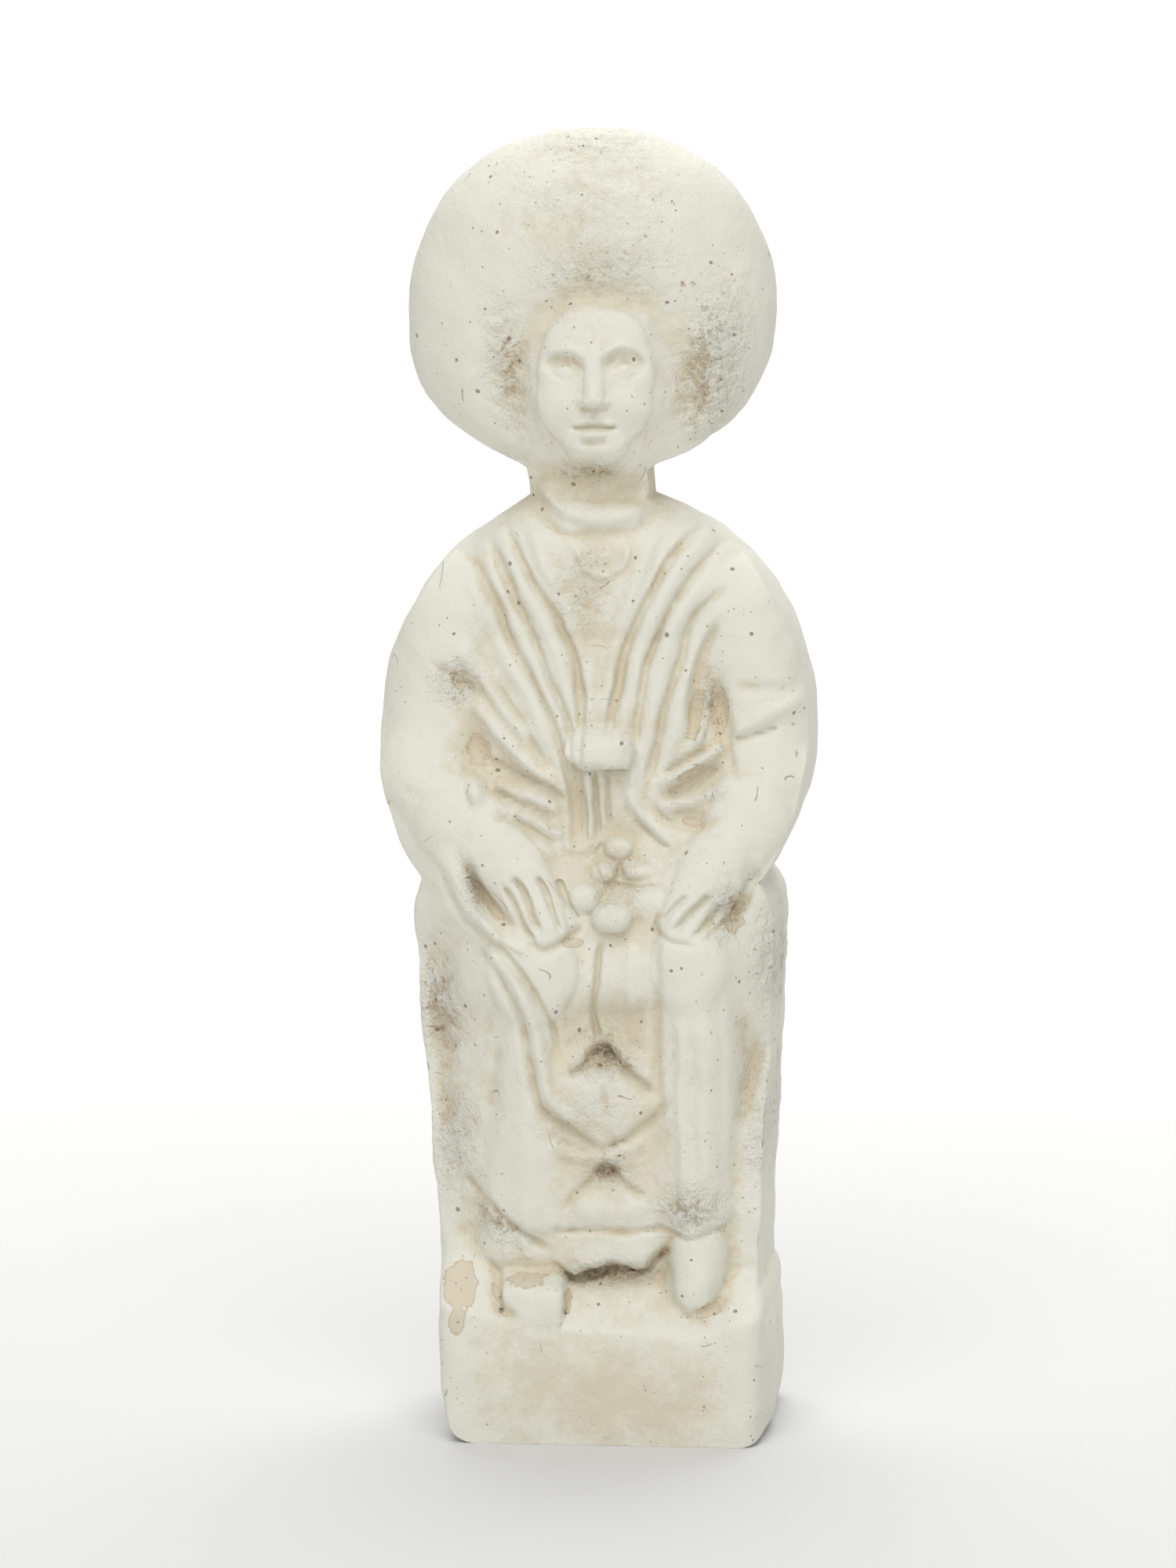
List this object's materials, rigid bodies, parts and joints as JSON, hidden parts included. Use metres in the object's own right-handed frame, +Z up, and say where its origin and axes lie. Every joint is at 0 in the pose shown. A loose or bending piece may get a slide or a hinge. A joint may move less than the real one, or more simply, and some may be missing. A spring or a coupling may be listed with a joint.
{
  "type": "seated roman matron statuette",
  "caption": "Plaster statuette of a seated draped matron with a large round bonnet, hands on her lap over fruit, cast in one with her chair and plinth.",
  "frame": {"origin": "middle of the bounding box at the underside of the plinth", "axes": "+Z up to the crown of the bonnet, the matron faces -Y, +X is at the viewer's right"},
  "size_m": [0.0557, 0.037, 0.167],
  "materials": {
    "plaster": null
  },
  "bodies": {
    "root": {"matron_statuette": "plaster"}
  },
  "joints": []
}
